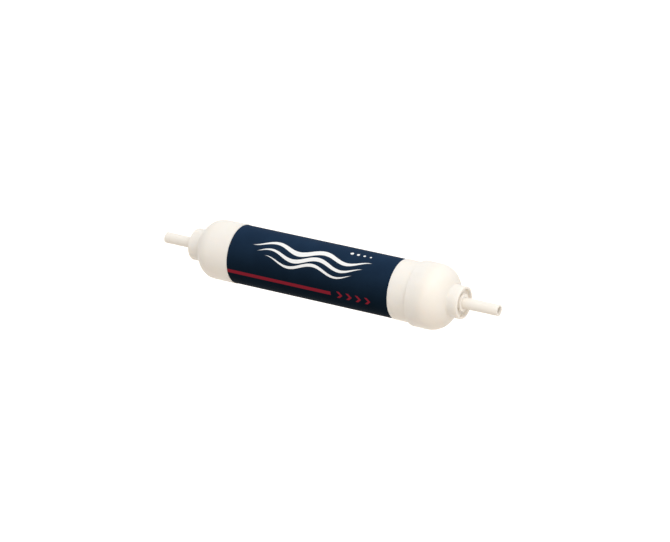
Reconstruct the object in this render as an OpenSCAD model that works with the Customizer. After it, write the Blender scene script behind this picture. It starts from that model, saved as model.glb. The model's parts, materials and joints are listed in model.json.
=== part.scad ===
// Inline water filter cartridge: a welded two-piece housing with a tube port in each end,
// and a carbon block inside that the water crosses from its outside to its bore.
// X runs along the flow, from the inlet to the outlet. The origin is on the axis, midway
// between the two tube ends. Millimetres.

/* [Housing] */
// Distance between the faces of the two hubs
housing_l = 264; // [220:1:320]
// Outside diameter of the bowl
body_d = 52; // [43:0.5:63]
// Wall of the bowl and of the cap
wall = 3; // [2:0.1:3.6]
// Corner radius where the bowl turns into its domed end
bowl_knuckle_r = 15; // [12:0.5:17]
// Height of the bowl's domed end above its straight wall
bowl_dome_h = 19.8; // [18.5:0.1:24]

/* [Cap] */
// Wall of the cap's skirt, over the bowl's mouth
cap_wall = 2.07; // [1.6:0.01:3]
// Straight length of the cap before its corner begins
cap_skirt_l = 13.6; // [12:0.2:18]
// Length of the bowl's mouth that the cap covers
cap_overlap = 10; // [6:0.5:10]
// Corner radius of the cap
cap_knuckle_r = 18.5; // [14:0.5:19]
// Height of the cap's domed end above its straight wall
cap_dome_h = 20.65; // [20.4:0.05:24]
// Depth of the ring on the cap that enters the bowl's mouth
tongue_l = 5; // [3:0.5:8]
// Thickness of that ring
tongue_t = 2; // [1.5:0.1:2.5]

/* [Hubs] */
// Diameter of each hub
hub_d = 28; // [23.3:0.1:33]
// Wall of a hub round its recess
hub_wall = 2; // [1.5:0.1:2.6]
// Length of each hub that stands out of the dome
hub_stand = 10; // [7.5:0.5:14]
// Rounding of a hub's outer edge
hub_edge_r = 0.8; // [0.4:0.1:1]
// Fillet at a hub's root
hub_root_r = 1.5; // [1:0.1:2.5]
// Depth of the recess in a hub's face
recess_depth = 3.2; // [2.8:0.1:4.5]
// Thickness of the floor that a port's retainer stands on
port_floor = 2; // [1.5:0.1:3]
// Number of ribs inside each dome
rib_count = 6; // [3:1:8]
// Thickness of each rib
rib_t = 2; // [1.5:0.1:3]

/* [Label] */
// Bare wall between the cap's lip and the label
label_setback = 17.6; // [8:0.1:40]
// Bare wall between the label and the domed end, where a clip grips
clip_seat_l = 20.88; // [15:0.01:40]
// Depth of the seat that the label lies in
label_seat = 0.55; // [0.2:0.05:0.8]
// Thickness of the label
label_t = 0.13; // [0.08:0.01:0.2]
// Gap between the label's two ends on the back
label_seam = 0.6; // [0.3:0.1:2]

/* [Tubes] */
// Outside diameter of the tubes
tube_d = 9.525; // [7.9:0.005:11.5]
// Wall of the tubes
tube_wall = 1.5875; // [1:0.0125:2]
// Length of the inlet tube outside its hub
inlet_tube_out = 30.5; // [20:0.5:80]
// Length of the outlet tube outside its hub
outlet_tube_out = 32.5; // [20:0.5:80]
// Length of the snug bore past the O-ring, where a tube ends
tube_socket_l = 8.82; // [5:0.01:12]
// Width of the ledge that a tube meets
stop_ledge = 1.35; // [0.8:0.05:1.35]
// Width of the insertion mark scored round each tube
mark_w = 0.6; // [0.4:0.1:1]
// Depth of that mark
mark_depth = 0.2; // [0.1:0.05:0.3]
// Distance of the mark from the hub's face
mark_gap = 0.3; // [0.1:0.1:2]

/* [Tube port] */
// Length of the ring that guides the collet
retainer_l = 6; // [5.8:0.1:7]
// Length of the ring's lip, behind which the collet's barbs catch
retainer_lip_l = 2; // [1.5:0.1:2.4]
// Wall of the collet's sleeve
collet_wall = 1.35; // [1.2:0.05:1.5]
// Width of the flange that is pressed to free the tube
collet_flange_w = 1.29; // [1:0.01:2]
// Thickness of that flange
collet_flange_t = 1.8; // [1.2:0.1:2]
// How far the collet can be pressed in
collet_travel = 1.3; // [0.8:0.05:1.3]
// Number of fingers on the collet
collet_fingers = 4; // [3:1:6]
// Gap between two fingers
finger_gap = 1; // [0.6:0.1:1.5]
// Height of the barb on each finger
barb_h = 0.9; // [0.5:0.05:1.2]
// Length of that barb
barb_l = 1.6; // [1:0.1:1.8]
// Room round the barbs, inside the retainer
chamber_gap = 1; // [0.4:0.1:1.4]
// Wall of a finger at its nose
nose_wall = 0.6; // [0.4:0.05:0.8]
// Gap that stays between the teeth and the nose of the pressed collet
nose_gap = 0.17; // [0.1:0.01:0.3]
// Thickness of the grab ring
grab_t = 0.3; // [0.2:0.05:0.4]
// Width of the grab ring that the retainer holds
grab_seat_w = 1.2; // [0.8:0.1:1.6]
// Number of teeth on the grab ring
grab_teeth = 12; // [8:1:16]
// Gap between two teeth
tooth_gap = 0.9; // [0.5:0.1:1.2]
// Lean of the teeth, into the port
grab_lean = 30; // [20:1:35]
// Length of the spacer between the grab ring and the O-ring
spacer_l = 4.4; // [4:0.1:5.5]
// Section diameter of the O-rings
o_ring_section = 2.1; // [1.8:0.05:2.5]
// Wall of the tower round the port, inside the housing
tower_wall = 2.4; // [1.8:0.1:3]
// Thickness of the tower's end, past the tube
tower_end_t = 3; // [2:0.1:4]

/* [Filter block] */
// Room for water between the bowl's wall and the carbon block
water_gap = 3.5; // [3.1:0.1:6]
// Bore of the carbon block
block_bore = 13; // [10:0.5:16]
// Thickness of the felt round the block
felt_t = 0.8; // [0.5:0.1:1]
// Thickness of the net's strands
net_t = 0.5; // [0.4:0.05:0.6]
// Number of strands along the net
net_bars = 12; // [8:1:16]
// Spacing of the rings of the net
net_pitch = 14; // [10:1:30]
// Width of a strand
strand_w = 0.9; // [0.6:0.1:1.4]
// Thickness of the two end plates
plate_t = 3; // [2.5:0.1:4]
// Depth of the rim by which a plate holds the block
plate_rim_l = 5; // [3:0.5:8]
// Thickness of that rim
plate_rim_t = 1; // [0.7:0.1:1]
// Depth of a plate's plug in the block's bore
plug_l = 4; // [2:0.5:6]
// Number of centring fins on each plate
fin_count = 6; // [3:1:8]
// Thickness of each fin
fin_t = 1.6; // [1:0.1:2.5]
// Room for water between the inlet's tower and the closed plate
inlet_room = 3.5; // [2:0.5:10]
// Length of the collar between the outlet plate and its socket
collar_l = 5; // [3:0.5:8]
// Diameter of the outlet plate's spigot
spigot_d = 15.6; // [13:0.2:18.8]
// Bore of the spigot
spigot_bore = 7; // [5:0.5:7.5]
// Length of the spigot inside its socket
spigot_l = 11; // [8.5:0.5:13.5]
// Distance from the spigot's tip to its O-ring
spigot_ring_back = 4; // [3:0.5:5.5]
// Wall of the socket in the cap
socket_wall = 2.6; // [2:0.1:3.2]
// Thickness of the socket's floor, past the tower
socket_floor_t = 2; // [1:0.1:4]

/* [Clearances] */
// Clearance between glued, pressed or wrapped pieces
slip = 0.03; // [0.02:0.01:0.08]
// Clearance between the collet and what it slides on
slide_gap = 0.1; // [0.08:0.01:0.15]
// Clearance where loose pieces face each other
face_gap = 0.1; // [0.05:0.01:0.2]
// Clearance of the filter block inside the bowl
block_gap = 0.25; // [0.2:0.05:0.5]
// Clearance of the spigot inside its socket
spigot_gap = 0.2; // [0.1:0.05:0.3]

/* [Hidden] */
$fn = 96;

// Angle between the points of an arc
arc_step = 3;
// How far a cut runs past the face that it opens
over = 1;
// How far joined solids reach into each other
bond = 0.5;
// Roundings of the bowl's mouth and of the cap's lip
mouth_edge = 0.6;
lip_edge = 0.5;
// Taper at the collet's nose and behind its barbs
nose_l = 1.5;
barb_slope_l = 0.6;
// How far the collet's slots run past its barbs
slot_past_barb = 1.2;
// Width of the grab ring that stands free inside the retainer
grab_free_w = 0.5;
// Room that the spacer leaves round and behind the teeth
tooth_room = 0.2;
tooth_back_room = 0.6;
// Bevel at the ends of the carbon block
block_chamfer = 0.6;
// How far the outlet plate's collar stands out past the socket's bore
collar_w = 1;
// Room for the O-ring along its groove
groove_room = 0.3;

body_r = body_d / 2;
bowl_bore_r = body_r - wall;
cap_r = body_r + slip + cap_wall;
tongue_bore_r = bowl_bore_r - slip - tongue_t;
hub_r = hub_d / 2;
tube_r = tube_d / 2;

// A dome is a corner arc, the knuckle, that runs on into a wide arc, the crown, about the axis.
// Radius of the crown, from the straight wall's radius, the knuckle and the dome's height
function crown_radius(r, knuckle, h) =
    (pow(r - knuckle, 2) + h * h - knuckle * knuckle) / (2 * (h - knuckle));

// Distance from the crown's centre forward to the end of the straight wall
function crown_back(r, knuckle, crown) = sqrt(pow(crown - knuckle, 2) - pow(r - knuckle, 2));

// Height of an arc about the axis, at a given radius
function arc_height(crown, at_r) = sqrt(crown * crown - at_r * at_r);

// Hub faces along X
overall_l = inlet_tube_out + housing_l + outlet_tube_out;
inlet_face_x = inlet_tube_out - overall_l / 2;
outlet_face_x = inlet_face_x + housing_l;

// Places measured inward from a hub's face, as negative numbers: crown centres, ends of the
// straight walls, the cap's lip, the seat in the cap and the bowl's mouth
bowl_crown_r = crown_radius(body_r, bowl_knuckle_r, bowl_dome_h);
bowl_crown_z = -hub_stand - arc_height(bowl_crown_r, hub_r);
bowl_dome_z = bowl_crown_z + crown_back(body_r, bowl_knuckle_r, bowl_crown_r);
cap_crown_r = crown_radius(cap_r, cap_knuckle_r, cap_dome_h);
cap_crown_z = -hub_stand - arc_height(cap_crown_r, hub_r);
cap_dome_z = cap_crown_z + crown_back(cap_r, cap_knuckle_r, cap_crown_r);
cap_lip_z = cap_dome_z - cap_skirt_l;
cap_seat_z = cap_lip_z + cap_overlap;
bowl_mouth_z = -(housing_l + cap_seat_z);

// Label, along X
label_start_x = inlet_face_x - bowl_dome_z + clip_seat_l;
label_end_x = outlet_face_x + cap_lip_z - label_setback;

// Tube port, from the hub's face inward
retainer_r = hub_r - hub_wall;
retainer_in_z = -(recess_depth + retainer_l);
lip_in_z = -(recess_depth + retainer_lip_l);
collet_bore_r = tube_r + slide_gap;
collet_r = collet_bore_r + collet_wall;
collet_flange_z = -(recess_depth - collet_travel - face_gap);
barb_r = collet_r + barb_h;
barb_out_z = lip_in_z - face_gap;
barb_in_z = barb_out_z - barb_l;
chamber_r = barb_r + chamber_gap;
nose_r = collet_bore_r + nose_wall;
grab_rim_r = chamber_r + grab_seat_w;
grab_seat_z = retainer_in_z - slip;
tooth_r = tube_r + slip;
tooth_root_r = chamber_r - grab_free_w;
tooth_tip_z = grab_seat_z - (tooth_root_r - tooth_r) * tan(grab_lean);
nose_z = grab_seat_z - (tooth_root_r - nose_r) * tan(grab_lean) + collet_travel + nose_gap;
spacer_z = grab_seat_z - grab_t - slip;
spacer_in_z = spacer_z - spacer_l;
gland_r = tube_r + o_ring_section + 2 * slip;
gland_in_z = spacer_in_z - o_ring_section - 4 * slip;
stop_z = gland_in_z - tube_socket_l;
waterway_r = tube_r - stop_ledge;
tower_r = grab_rim_r + tower_wall;
tower_z = stop_z - tower_end_t;

// Filter block and its socket: radii, and places along X
block_r = bowl_bore_r - water_gap;
felt_r = block_r + slip + felt_t;
net_in_r = felt_r + slip;
net_r = net_in_r + net_t;
plate_rim_in_r = net_r + slip;
plate_r = plate_rim_in_r + plate_rim_t;
fin_r = bowl_bore_r - block_gap;
spigot_r = spigot_d / 2;
socket_r = spigot_r + spigot_gap;
spigot_ring_r = socket_r - slip - o_ring_section / 2;
spigot_groove_r = spigot_ring_r - o_ring_section / 2 - slip;
socket_floor_z = tower_z - socket_floor_t;
socket_mouth_x = outlet_face_x + socket_floor_z - spigot_l;
closed_plate_x = inlet_face_x - tower_z + inlet_room;
block_start_x = closed_plate_x + plate_t;
outlet_plate_x = socket_mouth_x - block_gap - collar_l;
block_end_x = outlet_plate_x - plate_t;

shell_white = [0.95, 0.95, 0.93];
port_white = [0.92, 0.92, 0.90];
label_navy = [0.07, 0.13, 0.27];
tube_white = [0.96, 0.96, 0.95];
steel = [0.75, 0.75, 0.76];
seal_black = [0.08, 0.08, 0.08];
carbon_black = [0.13, 0.13, 0.13];
felt_white = [0.88, 0.88, 0.85];
net_white = [0.90, 0.91, 0.92];

// Turned shape: the 2D outline is drawn as [radius, place along X]
module turned() {
    rotate([0, 90, 0]) rotate_extrude() children();
}

// Plain ring of the section, from radius r1 to r2 and from place z1 to z2
module band(r1, r2, z1, z2) {
    translate([r1, z1]) square([r2 - r1, z2 - z1]);
}

// Upright slabs that stand round the axis from place z1 to z2, out to radius r
module slabs(count, t, z1, z2, r, turn = 0) {
    for (i = [0:count - 1])
        rotate([turn + i * 360 / count, 0, 0]) translate([z1, -t / 2, 0]) cube([z2 - z1, t, r]);
}

// Puts a piece, drawn from a hub's face at 0 with +X out of the housing, at one end
module at_inlet() {
    translate([inlet_face_x, 0, 0]) mirror([1, 0, 0]) children();
}
module at_outlet() {
    translate([outlet_face_x, 0, 0]) children();
}

// Points of an arc, without its first, which the outline already has
function arc(centre, r, from, to) =
    let (n = max(1, ceil(abs(to - from) / arc_step)))
    [for (i = [1:n]) let (a = from + (to - from) * i / n) centre + r * [cos(a), sin(a)]];

// Points of a dome: the knuckle, and then the crown up to a given angle
function dome(r, knuckle, crown, crown_z, end_angle) =
    let (back = crown_back(r, knuckle, crown), turn = 90 - atan2(r - knuckle, back))
    concat(
        arc([r - knuckle, crown_z + back], knuckle, 0, turn),
        arc([0, crown_z], crown, turn, end_angle)
    );

// Section inside a shell: straight wall and dome, filled to the axis
module cavity(r, knuckle, crown, crown_z, open_z) {
    wall_z = crown_z + crown_back(r, knuckle, crown);
    polygon(concat([[0, open_z], [r, open_z], [r, wall_z]], dome(r, knuckle, crown, crown_z, 90)));
}

// Section of a shell's outside: edge, straight wall, dome, fillet, hub and the hub's edge
module shell_outside(r, knuckle, crown, crown_z, open_z, edge) {
    root_r = hub_r + hub_root_r;
    root_z = crown_z + arc_height(crown + hub_root_r, root_r);
    meet = atan2(root_z - crown_z, root_r);
    polygon(concat(
        [[0, open_z], [r - edge, open_z]],
        arc([r - edge, open_z + edge], edge, -90, 0),
        [[r, crown_z + crown_back(r, knuckle, crown)]],
        dome(r, knuckle, crown, crown_z, meet),
        arc([root_r, root_z], hub_root_r, 180 + meet, 180),
        [[hub_r, -hub_edge_r]],
        arc([hub_r - hub_edge_r, -hub_edge_r], hub_edge_r, 0, 90),
        [[0, 0]]
    ));
}

// Section of the solid round a port: the floor under the hub, and the tower
module port_body() {
    band(0, hub_r, retainer_in_z - port_floor, -hub_stand);
    band(0, tower_r, tower_z, -hub_stand);
}

// Section of everything that a port is bored with, from the hub's face inward
module port_bores() {
    band(0, retainer_r, retainer_in_z, over);
    band(0, grab_rim_r + slip, spacer_in_z - slip, retainer_in_z + over);
    band(0, gland_r, gland_in_z, spacer_in_z);
    band(0, tube_r + slip, stop_z, gland_in_z + over);
    band(0, waterway_r, tower_z - over, stop_z + over);
}

// Ribs that stand between a port's tower and the dome, inside the shell
module dome_ribs(r, knuckle, crown, crown_z, foot_z) {
    intersection() {
        slabs(rib_count, rib_t, foot_z, 0, r);
        turned() difference() {
            cavity(r, knuckle, crown, crown_z, foot_z - over);
            band(0, tower_r - bond, foot_z - 2 * over, over);
        }
    }
}

// Long moulding: straight body, domed end, hub with the inlet port
module housing_bowl() {
    knuckle = bowl_knuckle_r - wall;
    crown = bowl_crown_r - wall;
    rib_foot_z = inlet_face_x - closed_plate_x + block_gap;
    color(shell_white) at_inlet() union() {
        turned() difference() {
            union() {
                difference() {
                    shell_outside(body_r, bowl_knuckle_r, bowl_crown_r, bowl_crown_z,
                        bowl_mouth_z, mouth_edge);
                    cavity(bowl_bore_r, knuckle, crown, bowl_crown_z, bowl_mouth_z - over);
                }
                port_body();
            }
            port_bores();
            band(body_r - label_seat, body_r + over,
                inlet_face_x - label_end_x - face_gap, inlet_face_x - label_start_x + face_gap);
        }
        dome_ribs(bowl_bore_r + bond, knuckle + bond, crown + bond, bowl_crown_z, rib_foot_z);
    }
}

// Cap spun onto the bowl's mouth, with the outlet port and the socket for the spigot
module end_cap() {
    knuckle = bowl_knuckle_r - wall;
    crown = cap_crown_r - wall;
    socket_mouth_z = socket_mouth_x - outlet_face_x;
    color(shell_white) at_outlet() union() {
        turned() difference() {
            union() {
                difference() {
                    shell_outside(cap_r, cap_knuckle_r, cap_crown_r, cap_crown_z,
                        cap_lip_z, lip_edge);
                    cavity(tongue_bore_r, knuckle, crown, cap_crown_z, cap_lip_z - over);
                    band(0, body_r + slip, cap_lip_z - over, cap_seat_z);
                }
                band(tongue_bore_r, tongue_bore_r + tongue_t, cap_seat_z - tongue_l, cap_seat_z + over);
                port_body();
                band(0, socket_r + socket_wall, socket_mouth_z, tower_z + over);
            }
            port_bores();
            band(0, waterway_r, socket_floor_z - over, tower_z);
            band(0, socket_r, socket_mouth_z - over, socket_floor_z);
        }
        dome_ribs(tongue_bore_r + bond, knuckle + bond, crown + bond, cap_crown_z, cap_dome_z);
    }
}

// Wrapped sheet in its seat, with its ends facing each other on the far side
module label() {
    seat_r = body_r - label_seat + slip;
    color(label_navy) difference() {
        turned() band(seat_r, seat_r + label_t, label_start_x, label_end_x);
        translate([label_start_x - over, 0, -label_seam / 2])
            cube([label_end_x - label_start_x + 2 * over, body_r, label_seam]);
    }
}

// Cut length of tube, from the port's stop to its free end
module tube(out_l) {
    color(tube_white) turned() difference() {
        band(tube_r - tube_wall, tube_r, stop_z + face_gap, out_l);
        band(tube_r - mark_depth, tube_r + over, mark_gap, mark_gap + mark_w);
    }
}
module inlet_tube() { at_inlet() tube(inlet_tube_out); }
module outlet_tube() { at_outlet() tube(outlet_tube_out); }

// Release ring: a flange to press on, and barbed fingers whose nose opens the grab ring
module collet() {
    flange_r = collet_r + collet_flange_w;
    color(port_white) difference() {
        turned() {
            band(collet_bore_r, flange_r, collet_flange_z, collet_flange_z + collet_flange_t);
            band(collet_bore_r, collet_r, barb_in_z, collet_flange_z + collet_flange_t);
            polygon([
                [collet_bore_r, nose_z], [nose_r, nose_z], [collet_r, nose_z + nose_l],
                [barb_r, barb_in_z + barb_slope_l], [barb_r, barb_out_z], [collet_bore_r, barb_out_z]
            ]);
        }
        slabs(collet_fingers, finger_gap, nose_z - over, lip_in_z + slot_past_barb, barb_r + over,
            180 / collet_fingers);
    }
}
module inlet_collet() { at_inlet() collet(); }
module outlet_collet() { at_outlet() collet(); }

// Ring fixed in the hub: its lip guides the collet and its back holds the grab ring
module retainer() {
    color(port_white) turned() difference() {
        band(collet_r + slide_gap, retainer_r - slip, retainer_in_z, -recess_depth);
        band(0, chamber_r, retainer_in_z - over, lip_in_z);
    }
}
module inlet_retainer() { at_inlet() retainer(); }
module outlet_retainer() { at_outlet() retainer(); }

// Spring steel washer with leaning teeth that bite the tube
module grab_ring() {
    root_r = tooth_root_r + face_gap;
    color(steel) difference() {
        turned() {
            band(tooth_root_r, grab_rim_r, grab_seat_z - grab_t, grab_seat_z);
            polygon([
                [root_r, grab_seat_z], [tooth_r, tooth_tip_z],
                [tooth_r, tooth_tip_z - grab_t], [root_r, grab_seat_z - grab_t]
            ]);
        }
        slabs(grab_teeth, tooth_gap, tooth_tip_z - grab_t - over, grab_seat_z + over, tooth_root_r);
    }
}
module inlet_grab_ring() { at_inlet() grab_ring(); }
module outlet_grab_ring() { at_outlet() grab_ring(); }

// Ring that backs the grab ring, hollowed so that the teeth can bend
module spacer() {
    room_r = tooth_root_r + tooth_room;
    room_z = tooth_tip_z - grab_t - tooth_back_room;
    color(port_white) turned() difference() {
        band(collet_bore_r, grab_rim_r, spacer_in_z, spacer_z);
        polygon([
            [0, spacer_z + over], [room_r, spacer_z + over], [room_r, spacer_z],
            [collet_bore_r + tooth_room, room_z], [0, room_z]
        ]);
    }
}
module inlet_spacer() { at_inlet() spacer(); }
module outlet_spacer() { at_outlet() spacer(); }

// Round ring of rubber, its section centred at a radius and a place
module o_ring(r, z) {
    color(seal_black) turned() translate([r, z]) circle(r = o_ring_section / 2);
}
module tube_o_ring() { o_ring(tube_r + slip + o_ring_section / 2, (gland_in_z + spacer_in_z) / 2); }
module inlet_o_ring() { at_inlet() tube_o_ring(); }
module outlet_o_ring() { at_outlet() tube_o_ring(); }

module carbon_block() {
    bevel_r = block_r - block_chamfer;
    bore_r = block_bore / 2;
    color(carbon_black) turned() polygon([
        [bore_r, block_start_x], [bevel_r, block_start_x],
        [block_r, block_start_x + block_chamfer], [block_r, block_end_x - block_chamfer],
        [bevel_r, block_end_x], [bore_r, block_end_x]
    ]);
}

module prefilter_wrap() {
    color(felt_white) turned() band(block_r + slip, felt_r, block_start_x + slip, block_end_x - slip);
}

// Net of rings and strands over the felt
module outer_net() {
    start_x = block_start_x + slip;
    end_x = block_end_x - slip;
    pitches = floor((end_x - start_x - strand_w) / net_pitch);
    step = (end_x - start_x - strand_w) / pitches;
    color(net_white) union() {
        turned() for (i = [0:pitches])
            band(net_in_r, net_r, start_x + i * step, start_x + i * step + strand_w);
        intersection() {
            turned() band(net_in_r, net_r, start_x, end_x);
            slabs(net_bars, strand_w, start_x, end_x, net_r + over);
        }
    }
}

// Section of an end plate, from its back to its face on the block: disc, rim and plug
module plate_section(back_x, face_x) {
    inward = sign(face_x - back_x);
    rim_x = face_x + inward * plate_rim_l;
    plug_x = face_x + inward * plug_l;
    band(0, plate_r, min(back_x, face_x), max(back_x, face_x));
    band(plate_rim_in_r, plate_r, min(back_x, rim_x), max(back_x, rim_x));
    band(0, block_bore / 2 - slip, min(back_x, plug_x), max(back_x, plug_x));
}

// Fins that centre an end plate in the bowl, between the places z1 and z2
module fins(z1, z2) {
    intersection() {
        turned() band(plate_r - bond, fin_r, z1, z2);
        slabs(fin_count, fin_t, z1, z2, fin_r + over, 180 / fin_count);
    }
}

// Plate that closes the block's bore at the inlet end
module closed_end_plate() {
    color(port_white) union() {
        turned() plate_section(closed_plate_x, block_start_x);
        fins(closed_plate_x, block_start_x + plate_rim_l);
    }
}

// Plate with the spigot that leads the filtered water into the cap's socket
module outlet_end_plate() {
    collar_x = outlet_plate_x + collar_l;
    tip_x = collar_x + spigot_l;
    ring_x = tip_x - spigot_ring_back;
    groove_w = o_ring_section + groove_room;
    color(port_white) union() {
        turned() difference() {
            union() {
                plate_section(outlet_plate_x, block_end_x);
                band(0, socket_r + collar_w, outlet_plate_x, collar_x);
                band(0, spigot_r, collar_x - over, tip_x);
            }
            band(0, spigot_bore / 2, block_end_x - plug_l - over, tip_x + over);
            band(spigot_groove_r, spigot_r + over, ring_x - groove_w / 2, ring_x + groove_w / 2);
        }
        fins(block_end_x - plate_rim_l, outlet_plate_x);
    }
}

module spigot_o_ring() {
    o_ring(spigot_ring_r, outlet_plate_x + collar_l + spigot_l - spigot_ring_back);
}

housing_bowl();
end_cap();
label();
inlet_tube();
outlet_tube();
inlet_collet();
outlet_collet();
inlet_retainer();
outlet_retainer();
inlet_grab_ring();
outlet_grab_ring();
inlet_spacer();
outlet_spacer();
inlet_o_ring();
outlet_o_ring();
carbon_block();
prefilter_wrap();
outer_net();
closed_end_plate();
outlet_end_plate();
spigot_o_ring();
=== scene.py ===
# Looks, light and camera for an inline water filter cartridge. The CAD pieces are the fixed
# frame, in metres, with +X along the flow. This script gives each of them its material.
import json
import math

import bpy
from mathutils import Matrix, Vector


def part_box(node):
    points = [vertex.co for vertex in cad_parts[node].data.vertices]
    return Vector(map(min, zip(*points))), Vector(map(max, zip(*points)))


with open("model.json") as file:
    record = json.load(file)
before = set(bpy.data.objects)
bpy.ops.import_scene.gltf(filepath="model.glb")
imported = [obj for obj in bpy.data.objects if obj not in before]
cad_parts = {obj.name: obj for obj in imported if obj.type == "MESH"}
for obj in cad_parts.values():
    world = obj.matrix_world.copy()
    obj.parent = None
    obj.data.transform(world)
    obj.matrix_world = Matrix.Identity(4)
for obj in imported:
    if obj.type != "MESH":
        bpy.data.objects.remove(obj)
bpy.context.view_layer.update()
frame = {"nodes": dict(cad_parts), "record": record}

nodes = frame["nodes"]
record = frame["record"]

MM_PER_M = 1000.0

# Camera: the image is 670 by 542 pixels, the sensor in millimetres
IMAGE_W = 670
SENSOR_W = 36.0
FOCAL_PX = 3066.0
CLIP_NEAR = 0.01
CLIP_FAR = 50.0
CAMERA_AT = Vector((1.23431, -2.07013, 0.96477))
CAMERA_AIM = Vector((0.00274, 0.00654, 0.00006))

# Stage: the world's light near the horizon and overhead, the floor, and the lamps
WORLD_LOW = 0.39
WORLD_HIGH = 0.98
FLOOR_Z = -0.25
FLOOR_HALF = 4.0
FLOOR_COLOUR = (0.65, 0.59, 0.525)
FLOOR_GLOW = 0.72
# Name, place, diameter and power in watts
LAMPS = (
    ("top_soft", (0.80, -0.49, 1.44), 1.0, 8.4),
    ("front_soft", (0.3, -2.1, 0.85), 0.9, 3.4),
    ("end_soft", (1.75, -0.75, 0.45), 0.9, 3.3),
)

# The label's print, in millimetres: along the axis from the label's middle, and up round the
# label from its front line, which is this far above the level of the axis
LABEL_FRONT_DEG = 26.7
WAVE_LIFT = 3.0
WAVE_LENGTH = 46.0
# Each wave's middle line, phase, half width and reach to either side
WAVES = ((12.6, 0.0, 2.2, 58.0), (5.4, 0.5, 1.8, 52.0), (-0.6, 1.0, 1.3, 44.0))
DOT_COUNT = 4
DOT_FIRST = 34.0
DOT_STEP = 6.0
DOT_LINE = 22.5
STRIPE_LOW = -20.2
STRIPE_HIGH = -16.8
STRIPE_END = 24.0
ARROW_COUNT = 4
ARROW_FIRST = 33.0
ARROW_STEP = 9.0
ARROW_LINE = -18.4
PRINT_WHITE = (0.86, 0.86, 0.85)
PRINT_RED = (0.245, 0.016, 0.030)
# The dark blue ground, each as a pair of tones that mottle it: darkened by painted shade towards the
# lower edge, and lightened by painted light above
GROUND_PAINTED_SHADE = ((0.0033, 0.0082, 0.0150), (0.0040, 0.0098, 0.0180))
GROUND_PAINTED_LIGHT = ((0.0125, 0.0290, 0.0610), (0.0145, 0.0338, 0.0700))

# Socket numbers of the Mix node when it mixes colours
MIX_FACTOR, MIX_A, MIX_B, MIX_RESULT = 0, 6, 7, 2


def new_material(name):
    """An empty node material with its output and a Principled shader joined to it."""
    material = bpy.data.materials.new(name)
    material.use_nodes = True
    tree = material.node_tree
    tree.nodes.clear()
    output = tree.nodes.new("ShaderNodeOutputMaterial")
    shader = tree.nodes.new("ShaderNodeBsdfPrincipled")
    tree.links.new(shader.outputs["BSDF"], output.inputs["Surface"])
    return material, tree, shader


def set_input(tree, node, name, value):
    """Sets a socket to a plain value, or joins it to another node's output."""
    socket = node.inputs[name]
    if isinstance(value, bpy.types.NodeSocket):
        tree.links.new(value, socket)
    else:
        socket.default_value = value


def math_node(tree, operation, *values, clamp=False):
    node = tree.nodes.new("ShaderNodeMath")
    node.operation = operation
    node.use_clamp = clamp
    for i, value in enumerate(values):
        set_input(tree, node, i, value)
    return node.outputs[0]


def add(tree, a, b):
    return math_node(tree, "ADD", a, b)


def sub(tree, a, b):
    return math_node(tree, "SUBTRACT", a, b)


def mul(tree, a, b):
    return math_node(tree, "MULTIPLY", a, b)


def ramp(tree, value, start, end, to_start=0.0, to_end=1.0):
    """Turns a value smoothly from to_start to to_end as it goes from start to end."""
    node = tree.nodes.new("ShaderNodeMapRange")
    node.interpolation_type = "SMOOTHSTEP"
    for name, v in (("Value", value), ("From Min", start), ("From Max", end),
                    ("To Min", to_start), ("To Max", to_end)):
        set_input(tree, node, name, v)
    return node.outputs["Result"]


def mix_colour(tree, factor, a, b):
    """Goes from colour a to colour b; each is a plain colour or another node's output."""
    node = tree.nodes.new("ShaderNodeMix")
    node.data_type = "RGBA"
    set_input(tree, node, MIX_FACTOR, factor)
    for index, colour in ((MIX_A, a), (MIX_B, b)):
        joined = isinstance(colour, bpy.types.NodeSocket)
        set_input(tree, node, index, colour if joined else (*colour, 1.0))
    return node.outputs[MIX_RESULT]


def object_place(tree):
    """The surface point in metres, as a vector and as its x, y and z."""
    coords = tree.nodes.new("ShaderNodeTexCoord")
    parts = tree.nodes.new("ShaderNodeSeparateXYZ")
    tree.links.new(coords.outputs["Object"], parts.inputs[0])
    return coords.outputs["Object"], parts.outputs[0], parts.outputs[1], parts.outputs[2]


def stretched(tree, vector, scale):
    """The place scaled by different amounts along X, Y and Z."""
    node = tree.nodes.new("ShaderNodeMapping")
    tree.links.new(vector, node.inputs["Vector"])
    node.inputs["Scale"].default_value = scale
    return node.outputs["Vector"]


def noise(tree, vector, scale, detail=3.0, roughness=0.5):
    node = tree.nodes.new("ShaderNodeTexNoise")
    tree.links.new(vector, node.inputs["Vector"])
    node.inputs["Scale"].default_value = scale
    node.inputs["Detail"].default_value = detail
    node.inputs["Roughness"].default_value = roughness
    return node.outputs["Fac"]


def bump(tree, height, strength, distance, after=None):
    """A normal bent by the height, on top of another normal where one is given."""
    node = tree.nodes.new("ShaderNodeBump")
    node.inputs["Strength"].default_value = strength
    node.inputs["Distance"].default_value = distance
    tree.links.new(height, node.inputs["Height"])
    if after is not None:
        tree.links.new(after, node.inputs["Normal"])
    return node.outputs["Normal"]


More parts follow.
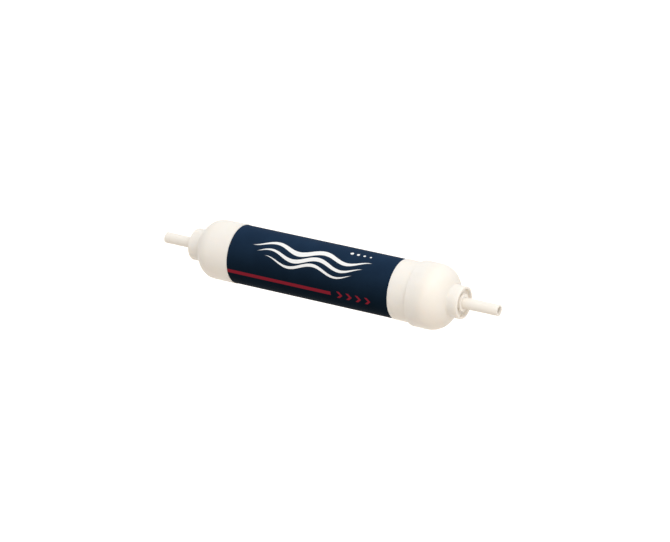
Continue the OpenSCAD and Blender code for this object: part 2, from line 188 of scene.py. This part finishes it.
def moulded_plastic(name, colour, shade, rough, grain_scale, translucency=0.0):
    """Satin moulded plastic: faint mottling, slight sinks, uneven gloss and a fine orange peel."""
    material, tree, shader = new_material(name)
    place, _, _, _ = object_place(tree)
    mottle = ramp(tree, noise(tree, place, 38.0, 4.0, 0.6), 0.3, 0.7)
    set_input(tree, shader, "Base Color", mix_colour(tree, mottle, shade, colour))
    uneven = noise(tree, place, 120.0, 3.0, 0.5)
    gloss = ramp(tree, uneven, 0.3, 0.7, rough - 0.04, rough + 0.05)
    set_input(tree, shader, "Roughness", gloss)
    peel = noise(tree, place, grain_scale, 2.0, 0.45)
    sink = noise(tree, place, 26.0, 1.0, 0.4)
    normal = bump(tree, sink, 0.10, 0.0006)
    set_input(tree, shader, "Normal", bump(tree, peel, 0.16, 0.00006, normal))
    shader.inputs["IOR"].default_value = 1.49
    if translucency:
        shader.inputs["Subsurface Weight"].default_value = translucency
        shader.inputs["Subsurface Radius"].default_value = (1.0, 0.85, 0.7)
        shader.inputs["Subsurface Scale"].default_value = 0.006
    return material


def drawn_tube(name, colour, shade):
    """Extruded tube: fine lines along the draw, a soft gloss and a little light through the wall."""
    material, tree, shader = new_material(name)
    place, _, _, _ = object_place(tree)
    lines = noise(tree, stretched(tree, place, (0.03, 1.0, 1.0)), 2600.0, 3.0, 0.55)
    cloud = noise(tree, place, 90.0, 3.0, 0.5)
    tone = mix_colour(tree, ramp(tree, cloud, 0.3, 0.7), shade, colour)
    set_input(tree, shader, "Base Color", tone)
    set_input(tree, shader, "Roughness", ramp(tree, lines, 0.3, 0.7, 0.34, 0.46))
    set_input(tree, shader, "Normal", bump(tree, lines, 0.22, 0.00005))
    shader.inputs["IOR"].default_value = 1.51
    shader.inputs["Subsurface Weight"].default_value = 0.3
    shader.inputs["Subsurface Radius"].default_value = (1.0, 0.96, 0.92)
    shader.inputs["Subsurface Scale"].default_value = 0.003
    return material


def spring_steel(name):
    """Stamped strip, rolled lines across a bright ground."""
    material, tree, shader = new_material(name)
    place, _, _, _ = object_place(tree)
    lines = noise(tree, stretched(tree, place, (1.0, 0.05, 1.0)), 4200.0, 3.0, 0.6)
    tone = mix_colour(tree, lines, (0.52, 0.53, 0.55), (0.66, 0.67, 0.69))
    set_input(tree, shader, "Base Color", tone)
    shader.inputs["Metallic"].default_value = 1.0
    set_input(tree, shader, "Roughness", ramp(tree, lines, 0.2, 0.8, 0.2, 0.36))
    set_input(tree, shader, "Normal", bump(tree, lines, 0.2, 0.00002))
    return material


def seal_rubber(name):
    """Moulded black rubber with a dull, slightly dusty skin."""
    material, tree, shader = new_material(name)
    place, _, _, _ = object_place(tree)
    bloom = noise(tree, place, 700.0, 4.0, 0.6)
    tone = mix_colour(
        tree, ramp(tree, bloom, 0.35, 0.75), (0.012, 0.012, 0.013), (0.035, 0.035, 0.036))
    set_input(tree, shader, "Base Color", tone)
    set_input(tree, shader, "Roughness", ramp(tree, bloom, 0.3, 0.7, 0.45, 0.62))
    set_input(tree, shader, "Normal", bump(tree, bloom, 0.25, 0.00004))
    return material


def pressed_carbon(name):
    """Pressed carbon: dark grains of uneven size, with a few that glint."""
    material, tree, shader = new_material(name)
    place, _, _, _ = object_place(tree)
    grains = tree.nodes.new("ShaderNodeTexVoronoi")
    tree.links.new(place, grains.inputs["Vector"])
    grains.inputs["Scale"].default_value = 1500.0
    cloud = noise(tree, place, 220.0, 5.0, 0.6)
    height = add(tree, mul(tree, grains.outputs["Distance"], 0.7), mul(tree, cloud, 0.5))
    tone = mix_colour(tree, cloud, (0.010, 0.010, 0.011), (0.038, 0.037, 0.036))
    set_input(tree, shader, "Base Color", tone)
    dull = ramp(tree, grains.outputs["Distance"], 0.1, 0.7, 0.55, 0.95)
    set_input(tree, shader, "Roughness", dull)
    set_input(tree, shader, "Normal", bump(tree, height, 0.7, 0.0003))
    return material


def felt_cloth(name):
    """Non-woven felt: matted fibres and a soft sheen."""
    material, tree, shader = new_material(name)
    place, _, _, _ = object_place(tree)
    fibres = noise(tree, stretched(tree, place, (1.0, 0.3, 0.3)), 2200.0, 5.0, 0.7)
    clumps = noise(tree, place, 320.0, 4.0, 0.6)
    tone = mix_colour(tree, ramp(tree, clumps, 0.3, 0.7), (0.66, 0.66, 0.62), (0.80, 0.80, 0.77))
    set_input(tree, shader, "Base Color", tone)
    shader.inputs["Roughness"].default_value = 0.9
    shader.inputs["Sheen Weight"].default_value = 0.3
    height = add(tree, mul(tree, fibres, 0.6), mul(tree, clumps, 0.6))
    set_input(tree, shader, "Normal", bump(tree, height, 0.6, 0.0003))
    return material


def band_mask(tree, value, low, high, soft=0.09):
    """1 between low and high and 0 outside, in millimetres, with soft edges."""
    rise = ramp(tree, value, sub(tree, low, soft), add(tree, low, soft))
    fall = ramp(tree, value, sub(tree, high, soft), add(tree, high, soft), 1.0, 0.0)
    return mul(tree, rise, fall)


def wave_mask(tree, along, across, middle, shift, half_width, reach):
    """A wave line: its middle runs as a sine, and it thins out to a point at both ends."""
    phase = add(tree, mul(tree, along, 2.0 * math.pi / WAVE_LENGTH), shift)
    line = add(tree, mul(tree, math_node(tree, "SINE", phase), WAVE_LIFT), middle)
    off = math_node(tree, "ABSOLUTE", sub(tree, across, line))
    out = mul(tree, along, 1.0 / reach)
    left_over = math_node(tree, "SUBTRACT", 1.0, mul(tree, out, out), clamp=True)
    width = mul(tree, left_over, half_width)
    edge = sub(tree, off, width)
    inside = ramp(tree, edge, -0.12, 0.12, 1.0, 0.0)
    return mul(tree, inside, ramp(tree, width, 0.0, 0.3))


def any_of(tree, masks):
    """1 wherever one of the masks is 1."""
    result = masks[0]
    for mask in masks[1:]:
        result = math_node(tree, "MAXIMUM", result, mask)
    return result


def dot_mask(tree, along, across, at_along, at_across, radius):
    """A round dot."""
    across_off = sub(tree, across, at_across)
    along_off = sub(tree, along, at_along)
    square = add(tree, mul(tree, across_off, across_off), mul(tree, along_off, along_off))
    return ramp(tree, math_node(tree, "SQRT", square), radius - 0.1, radius + 0.1, 1.0, 0.0)


def chevron_mask(tree, along, across, at_along, at_across, size, thick):
    """An arrow head that points along the flow."""
    height = math_node(tree, "ABSOLUTE", sub(tree, across, at_across))
    front = add(tree, sub(tree, along, at_along), height)
    stroke = band_mask(tree, front, 0.0, thick)
    return mul(tree, stroke, ramp(tree, height, size - 0.1, size + 0.1, 1.0, 0.0))


def printed_film(name):
    """Dark blue printed film with white waves and dots, a red stripe with flow arrows, and painted shade
    that darkens the blue towards the lower edge.
    """
    material, tree, shader = new_material(name)
    place, x, y, z = object_place(tree)
    low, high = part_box("label")
    radius_mm = high.z * MM_PER_M
    middle = (low.x + high.x) / 2
    half_l = (high.x - low.x) / 2 * MM_PER_M

    along = mul(tree, sub(tree, x, middle), MM_PER_M)
    turn = math_node(tree, "ARCTAN2", z, mul(tree, y, -1.0))
    across = mul(tree, sub(tree, turn, math.radians(LABEL_FRONT_DEG)), radius_mm)

    waves = [wave_mask(tree, along, across, *wave) for wave in WAVES]
    dots = [
        dot_mask(tree, along, across, DOT_FIRST + DOT_STEP * i, DOT_LINE, 1.5 - 0.2 * i)
        for i in range(DOT_COUNT)
    ]
    white = any_of(tree, waves + dots)

    stripe = band_mask(tree, across, STRIPE_LOW, STRIPE_HIGH)
    stripe = mul(tree, stripe, band_mask(tree, along, -half_l, STRIPE_END))
    arrows = [
        chevron_mask(tree, along, across, ARROW_FIRST + ARROW_STEP * i, ARROW_LINE, 3.2, 2.6)
        for i in range(ARROW_COUNT)
    ]
    red = any_of(tree, [stripe] + arrows)

    mottle = ramp(tree, noise(tree, place, 60.0, 3.0, 0.5), 0.3, 0.7)
    painted_shade_blue = mix_colour(tree, mottle, *GROUND_PAINTED_SHADE)
    painted_light_blue = mix_colour(tree, mottle, *GROUND_PAINTED_LIGHT)
    # Painted shade and painted light: deep at the lower edge and fresh above; half way at the back, alike
    # on both sides of the seam
    tone = ramp(tree, across, -27.0, 32.0)
    back = ramp(tree, math_node(tree, "ABSOLUTE", across), 40.0, 76.0)
    tone = add(tree, tone, mul(tree, back, sub(tree, 0.5, tone)))
    colour = mix_colour(tree, white, mix_colour(tree, tone, painted_shade_blue, painted_light_blue), PRINT_WHITE)
    set_input(tree, shader, "Base Color", mix_colour(tree, red, colour, PRINT_RED))

    wrinkle = noise(tree, stretched(tree, place, (0.4, 1.0, 1.0)), 70.0, 2.0, 0.4)
    grain = noise(tree, place, 1800.0, 2.0, 0.5)
    set_input(tree, shader, "Roughness", ramp(tree, grain, 0.3, 0.7, 0.40, 0.50))
    normal = bump(tree, wrinkle, 0.08, 0.0004)
    set_input(tree, shader, "Normal", bump(tree, grain, 0.10, 0.00002, normal))
    shader.inputs["IOR"].default_value = 1.5
    shader.inputs["Specular IOR Level"].default_value = 0.003
    return material


def finish_nodes():
    """Gives each CAD node the finish of its material slot in the record."""
    finishes = {
        "housing_plastic": moulded_plastic(
            "housing_plastic", (0.913, 0.850, 0.774), (0.893, 0.826, 0.746), 0.42, 900.0, 0.45),
        "label_film": printed_film("label_film"),
        "tube_plastic": drawn_tube("tube_plastic", (0.905, 0.852, 0.775), (0.885, 0.827, 0.75)),
        "collet_plastic": moulded_plastic(
            "collet_plastic", (0.95, 0.905, 0.835), (0.935, 0.885, 0.81), 0.30, 1500.0, 0.15),
        "port_plastic": moulded_plastic(
            "port_plastic", (0.95, 0.905, 0.835), (0.935, 0.885, 0.81), 0.38, 1300.0, 0.10),
        "spring_steel": spring_steel("spring_steel"),
        "seal_rubber": seal_rubber("seal_rubber"),
        "carbon": pressed_carbon("carbon"),
        "felt": felt_cloth("felt"),
        "net_plastic": moulded_plastic(
            "net_plastic", (0.84, 0.85, 0.86), (0.80, 0.81, 0.83), 0.42, 1600.0, 0.05),
    }
    slots = {row["node"]: row["material_slot"] for row in record["subparts"]}
    for name, piece in nodes.items():
        piece.data.materials.clear()
        piece.data.materials.append(finishes[slots[name]])


def white_to_camera(name, colour, glow):
    """A pale floor that shows as white, and that still takes the object's shadow."""
    material, tree, shader = new_material(name)
    shader.inputs["Base Color"].default_value = (*colour, 1.0)
    shader.inputs["Roughness"].default_value = 0.9
    path = tree.nodes.new("ShaderNodeLightPath")
    seen = math_node(tree, "MAXIMUM", path.outputs["Is Camera Ray"], path.outputs["Is Glossy Ray"])
    seen = math_node(tree, "MAXIMUM", seen, path.outputs["Is Transmission Ray"])
    shader.inputs["Emission Color"].default_value = (1.0, 1.0, 1.0, 1.0)
    set_input(tree, shader, "Emission Strength", mul(tree, seen, glow))
    return material


def make_floor():
    corners = [(FLOOR_HALF * a, FLOOR_HALF * b, FLOOR_Z) for a, b in ((-1, -1), (1, -1), (1, 1), (-1, 1))]
    mesh = bpy.data.meshes.new("floor")
    mesh.from_pydata(corners, [], [(0, 1, 2, 3)])
    floor = bpy.data.objects.new("floor", mesh)
    bpy.context.scene.collection.objects.link(floor)
    mesh.materials.append(white_to_camera("floor_white", FLOOR_COLOUR, FLOOR_GLOW))


def make_world():
    """Even soft light from all round, and white where the camera looks past the floor."""
    world = bpy.data.worlds.new("studio")
    bpy.context.scene.world = world
    world.use_nodes = True
    tree = world.node_tree
    background = tree.nodes["Background"]
    path = tree.nodes.new("ShaderNodeLightPath")
    seen = math_node(tree, "MAXIMUM", path.outputs["Is Camera Ray"], path.outputs["Is Glossy Ray"])
    seen = math_node(tree, "MAXIMUM", seen, path.outputs["Is Transmission Ray"])
    coords = tree.nodes.new("ShaderNodeTexCoord")
    height = tree.nodes.new("ShaderNodeSeparateXYZ")
    tree.links.new(coords.outputs["Generated"], height.inputs[0])
    sky = ramp(tree, height.outputs[2], -0.1, 0.9, WORLD_LOW, WORLD_HIGH)
    strength = add(tree, mul(tree, sub(tree, 1.0, seen), sky), seen)
    background.inputs["Color"].default_value = (1.0, 1.0, 1.0, 1.0)
    tree.links.new(strength, background.inputs["Strength"])


def area_lamp(name, at, size, power):
    """A round soft lamp that points at the origin."""
    data = bpy.data.lights.new(name, "AREA")
    data.shape = "DISK"
    data.size = size
    data.energy = power
    lamp = bpy.data.objects.new(name, data)
    lamp.location = at
    lamp.rotation_mode = "QUATERNION"
    lamp.rotation_quaternion = (-Vector(at)).to_track_quat("-Z", "Y")
    bpy.context.scene.collection.objects.link(lamp)


def make_camera():
    data = bpy.data.cameras.new("camera")
    data.sensor_fit = "HORIZONTAL"
    data.sensor_width = SENSOR_W
    data.lens = FOCAL_PX * SENSOR_W / IMAGE_W
    data.clip_start = CLIP_NEAR
    data.clip_end = CLIP_FAR
    camera = bpy.data.objects.new("camera", data)
    camera.location = CAMERA_AT
    camera.rotation_mode = "QUATERNION"
    camera.rotation_quaternion = (CAMERA_AIM - CAMERA_AT).to_track_quat("-Z", "Y")
    bpy.context.scene.collection.objects.link(camera)
    bpy.context.scene.camera = camera


finish_nodes()
make_floor()
make_world()
for lamp_values in LAMPS:
    area_lamp(*lamp_values)
make_camera()
bpy.context.scene.view_settings.view_transform = "Standard"
